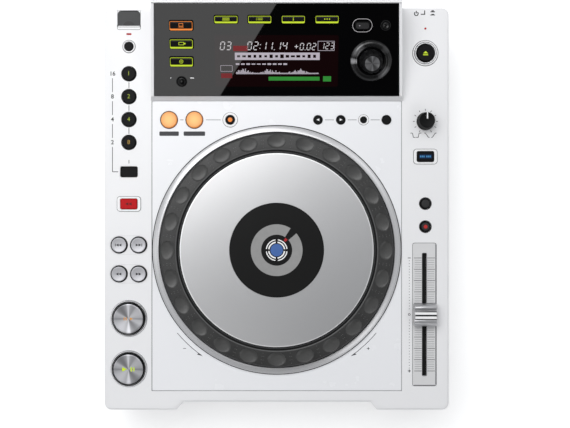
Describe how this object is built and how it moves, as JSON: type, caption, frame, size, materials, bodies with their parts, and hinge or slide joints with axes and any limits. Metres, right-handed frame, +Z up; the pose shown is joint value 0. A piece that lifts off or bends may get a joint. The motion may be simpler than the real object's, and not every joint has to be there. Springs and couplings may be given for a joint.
{
  "type": "tabletop disc player",
  "caption": "Tabletop disc player for mixing: jog wheel, tilted display hood, lit keys, tempo slider, front disc slot and rear sockets.",
  "frame": {"origin": "centre of the footprint, on the table under the rubber feet", "axes": "+Z up, +Y towards the rear with the display and the sockets, +X to the operator's right"},
  "size_m": [0.305, 0.356, 0.1069],
  "materials": {
    "case_white": "smooth pearl white moulded plastic",
    "deck_white": "smooth white moulded plastic",
    "window_black": "polished black acrylic",
    "display_dark": "dark display glass",
    "ring_grey": "soft dark grey rubberised plastic",
    "platter_metal": "radially brushed",
    "grey_plastic": "moulded",
    "board_green": "circuit board laminate",
    "sheet_steel": "pressed sheet",
    "steel": "turned",
    "socket_metal": "moulded",
    "rubber": "matt",
    "black_key": "satin black",
    "red_key": "satin red",
    "silver_key": "fine brushed",
    "spun_metal": "spun in circles",
    "amber_key": "lit from behind",
    "lit_key": "translucent skirt lit from behind",
    "fader_metal": "satin",
    "cover_grey": "satin",
    "drive_dark": "moulded"
  },
  "bodies": {
    "case": {"bottom_case": "case_white", "top_case": "case_white", "deck_panel": "deck_white", "display_window": "window_black", "display_module": "display_dark", "jog_display": "window_black", "jog_support": "grey_plastic", "main_board": "board_green", "switch_board": "board_green", "power_board": "board_green", "drive_chassis": "sheet_steel", "rear_sockets": "socket_metal", "rubber_feet": "rubber", "case_screws": "steel"},
    "jog_wheel": {"jog_ring": "ring_grey", "jog_platter": "platter_metal"},
    "usb_stop_button": {"usb_stop_button": "black_key"},
    "beat_1_button": {"beat_1_button": "black_key"},
    "beat_2_button": {"beat_2_button": "black_key"},
    "beat_4_button": {"beat_4_button": "black_key"},
    "beat_8_button": {"beat_8_button": "black_key"},
    "beat_select_button": {"beat_select_button": "black_key"},
    "reverse_button": {"reverse_button": "red_key"},
    "track_back_button": {"track_back_button": "silver_key"},
    "track_forward_button": {"track_forward_button": "silver_key"},
    "search_back_button": {"search_back_button": "silver_key"},
    "search_forward_button": {"search_forward_button": "silver_key"},
    "cue_button": {"cue_button": "spun_metal"},
    "play_button": {"play_button": "spun_metal"},
    "eject_button": {"eject_button": "black_key"},
    "jog_mode_button": {"jog_mode_button": "black_key"},
    "tempo_range_button": {"tempo_range_button": "black_key"},
    "master_tempo_button": {"master_tempo_button": "black_key"},
    "loop_in_button": {"loop_in_button": "amber_key"},
    "loop_out_button": {"loop_out_button": "amber_key"},
    "reloop_button": {"reloop_button": "black_key"},
    "call_previous_button": {"call_previous_button": "black_key"},
    "call_next_button": {"call_next_button": "black_key"},
    "delete_button": {"delete_button": "black_key"},
    "memory_button": {"memory_button": "black_key"},
    "pc_button": {"pc_button": "lit_key"},
    "usb_button": {"usb_button": "lit_key"},
    "disc_button": {"disc_button": "lit_key"},
    "time_mode_button": {"time_mode_button": "black_key"},
    "browse_button": {"browse_button": "lit_key"},
    "tag_list_button": {"tag_list_button": "lit_key"},
    "info_button": {"info_button": "lit_key"},
    "menu_button": {"menu_button": "lit_key"},
    "back_button": {"back_button": "black_key"},
    "tag_track_button": {"tag_track_button": "black_key"},
    "power_button": {"power_button": "black_key"},
    "speed_knob": {"speed_knob": "black_key"},
    "selector_shaft": {"selector_shaft": "steel"},
    "selector_knob": {"selector_knob": "black_key"},
    "slider_knob": {"slider_knob": "fader_metal"},
    "usb_cover": {"usb_cover": "cover_grey"},
    "disc_turntable": {"disc_turntable": "drive_dark"},
    "optical_pickup": {"optical_pickup": "drive_dark"},
    "lead_screw": {"lead_screw": "steel"},
    "loading_roller": {"loading_roller": "rubber"}
  },
  "joints": [
    {"name": "jog_turn", "type": "hinge", "parent": "case", "child": "jog_wheel", "pos_m": [0, -0.0362, 0.072], "axis": [0, 0, 1], "continuous": true},
    {"name": "usb_stop_press", "type": "slide", "parent": "case", "child": "usb_stop_button", "axis": [0, 0, -1], "range_m": [0, 0.001], "stiffness_N_per_m": 300},
    {"name": "beat_1_press", "type": "slide", "parent": "case", "child": "beat_1_button", "axis": [0, 0, -1], "range_m": [0, 0.001], "stiffness_N_per_m": 300},
    {"name": "beat_2_press", "type": "slide", "parent": "case", "child": "beat_2_button", "axis": [0, 0, -1], "range_m": [0, 0.001], "stiffness_N_per_m": 300},
    {"name": "beat_4_press", "type": "slide", "parent": "case", "child": "beat_4_button", "axis": [0, 0, -1], "range_m": [0, 0.001], "stiffness_N_per_m": 300},
    {"name": "beat_8_press", "type": "slide", "parent": "case", "child": "beat_8_button", "axis": [0, 0, -1], "range_m": [0, 0.001], "stiffness_N_per_m": 300},
    {"name": "beat_select_press", "type": "slide", "parent": "case", "child": "beat_select_button", "axis": [0, 0, -1], "range_m": [0, 0.001], "stiffness_N_per_m": 300},
    {"name": "reverse_press", "type": "slide", "parent": "case", "child": "reverse_button", "axis": [0, 0, -1], "range_m": [0, 0.001], "stiffness_N_per_m": 300},
    {"name": "track_back_press", "type": "slide", "parent": "case", "child": "track_back_button", "axis": [0, 0, -1], "range_m": [0, 0.001], "stiffness_N_per_m": 300},
    {"name": "track_forward_press", "type": "slide", "parent": "case", "child": "track_forward_button", "axis": [0, 0, -1], "range_m": [0, 0.001], "stiffness_N_per_m": 300},
    {"name": "search_back_press", "type": "slide", "parent": "case", "child": "search_back_button", "axis": [0, 0, -1], "range_m": [0, 0.001], "stiffness_N_per_m": 300},
    {"name": "search_forward_press", "type": "slide", "parent": "case", "child": "search_forward_button", "axis": [0, 0, -1], "range_m": [0, 0.001], "stiffness_N_per_m": 300},
    {"name": "cue_press", "type": "slide", "parent": "case", "child": "cue_button", "axis": [0, 0, -1], "range_m": [0, 0.0018], "stiffness_N_per_m": 300},
    {"name": "play_press", "type": "slide", "parent": "case", "child": "play_button", "axis": [0, 0, -1], "range_m": [0, 0.0018], "stiffness_N_per_m": 300},
    {"name": "eject_press", "type": "slide", "parent": "case", "child": "eject_button", "axis": [0, 0, -1], "range_m": [0, 0.001], "stiffness_N_per_m": 300},
    {"name": "jog_mode_press", "type": "slide", "parent": "case", "child": "jog_mode_button", "axis": [0, 0, -1], "range_m": [0, 0.001], "stiffness_N_per_m": 300},
    {"name": "tempo_range_press", "type": "slide", "parent": "case", "child": "tempo_range_button", "axis": [0, 0, -1], "range_m": [0, 0.001], "stiffness_N_per_m": 300},
    {"name": "master_tempo_press", "type": "slide", "parent": "case", "child": "master_tempo_button", "axis": [0, 0, -1], "range_m": [0, 0.001], "stiffness_N_per_m": 300},
    {"name": "loop_in_press", "type": "slide", "parent": "case", "child": "loop_in_button", "axis": [0, 0, -1], "range_m": [0, 0.001], "stiffness_N_per_m": 300},
    {"name": "loop_out_press", "type": "slide", "parent": "case", "child": "loop_out_button", "axis": [0, 0, -1], "range_m": [0, 0.001], "stiffness_N_per_m": 300},
    {"name": "reloop_press", "type": "slide", "parent": "case", "child": "reloop_button", "axis": [0, 0, -1], "range_m": [0, 0.001], "stiffness_N_per_m": 300},
    {"name": "call_previous_press", "type": "slide", "parent": "case", "child": "call_previous_button", "axis": [0, 0, -1], "range_m": [0, 0.001], "stiffness_N_per_m": 300},
    {"name": "call_next_press", "type": "slide", "parent": "case", "child": "call_next_button", "axis": [0, 0, -1], "range_m": [0, 0.001], "stiffness_N_per_m": 300},
    {"name": "delete_press", "type": "slide", "parent": "case", "child": "delete_button", "axis": [0, 0, -1], "range_m": [0, 0.0005], "stiffness_N_per_m": 300},
    {"name": "memory_press", "type": "slide", "parent": "case", "child": "memory_button", "axis": [0, 0, -1], "range_m": [0, 0.001], "stiffness_N_per_m": 300},
    {"name": "pc_press", "type": "slide", "parent": "case", "child": "pc_button", "axis": [0, 0.342, -0.9397], "range_m": [0, 0.001], "stiffness_N_per_m": 300},
    {"name": "usb_press", "type": "slide", "parent": "case", "child": "usb_button", "axis": [0, 0.342, -0.9397], "range_m": [0, 0.001], "stiffness_N_per_m": 300},
    {"name": "disc_press", "type": "slide", "parent": "case", "child": "disc_button", "axis": [0, 0.342, -0.9397], "range_m": [0, 0.001], "stiffness_N_per_m": 300},
    {"name": "time_mode_press", "type": "slide", "parent": "case", "child": "time_mode_button", "axis": [0, 0.342, -0.9397], "range_m": [0, 0.001], "stiffness_N_per_m": 300},
    {"name": "browse_press", "type": "slide", "parent": "case", "child": "browse_button", "axis": [0, 0.342, -0.9397], "range_m": [0, 0.001], "stiffness_N_per_m": 300},
    {"name": "tag_list_press", "type": "slide", "parent": "case", "child": "tag_list_button", "axis": [0, 0.342, -0.9397], "range_m": [0, 0.001], "stiffness_N_per_m": 300},
    {"name": "info_press", "type": "slide", "parent": "case", "child": "info_button", "axis": [0, 0.342, -0.9397], "range_m": [0, 0.001], "stiffness_N_per_m": 300},
    {"name": "menu_press", "type": "slide", "parent": "case", "child": "menu_button", "axis": [0, 0.342, -0.9397], "range_m": [0, 0.001], "stiffness_N_per_m": 300},
    {"name": "back_press", "type": "slide", "parent": "case", "child": "back_button", "axis": [0, 0.342, -0.9397], "range_m": [0, 0.001], "stiffness_N_per_m": 300},
    {"name": "tag_track_press", "type": "slide", "parent": "case", "child": "tag_track_button", "axis": [0, 0.342, -0.9397], "range_m": [0, 0.001], "stiffness_N_per_m": 300},
    {"name": "power_press", "type": "slide", "parent": "case", "child": "power_button", "axis": [0, -1, 0], "range_m": [0, 0.002], "stiffness_N_per_m": 300},
    {"name": "speed_turn", "type": "hinge", "parent": "case", "child": "speed_knob", "pos_m": [0.1315, 0.0775, 0.072], "axis": [0, 0, -1], "range_deg": [-150, 150]},
    {"name": "selector_press", "type": "slide", "parent": "case", "child": "selector_shaft", "axis": [0, 0.342, -0.9397], "range_m": [0, 0.0008], "stiffness_N_per_m": 300},
    {"name": "selector_turn", "type": "hinge", "parent": "selector_shaft", "child": "selector_knob", "pos_m": [0.082, 0.12645, 0.09438], "axis": [0, -0.342, 0.9397], "continuous": true},
    {"name": "tempo_slide", "type": "slide", "parent": "case", "child": "slider_knob", "axis": [0, -1, 0], "range_m": [-0.05, 0.05]},
    {"name": "usb_cover_hinge", "type": "hinge", "parent": "case", "child": "usb_cover", "pos_m": [-0.1308, 0.1744, 0.071], "axis": [-1, 0, 0], "range_deg": [0, 95]},
    {"name": "disc_spin", "type": "hinge", "parent": "case", "child": "disc_turntable", "pos_m": [0, -0.096, 0.036], "axis": [0, 0, 1], "continuous": true},
    {"name": "pickup_slide", "type": "slide", "parent": "case", "child": "optical_pickup", "axis": [0, 1, 0], "range_m": [0, 0.033]},
    {"name": "lead_screw_turn", "type": "hinge", "parent": "case", "child": "lead_screw", "pos_m": [0.027, -0.096, 0.028], "axis": [0, 1, 0], "range_deg": [0, 3965]},
    {"name": "roller_turn", "type": "hinge", "parent": "case", "child": "loading_roller", "pos_m": [0, -0.161, 0.0319], "axis": [1, 0, 0], "continuous": true}
  ],
  "couplings": [
    {"joint": "lead_screw_turn", "follows": "pickup_slide", "rad_per_m": 2094.4}
  ]
}
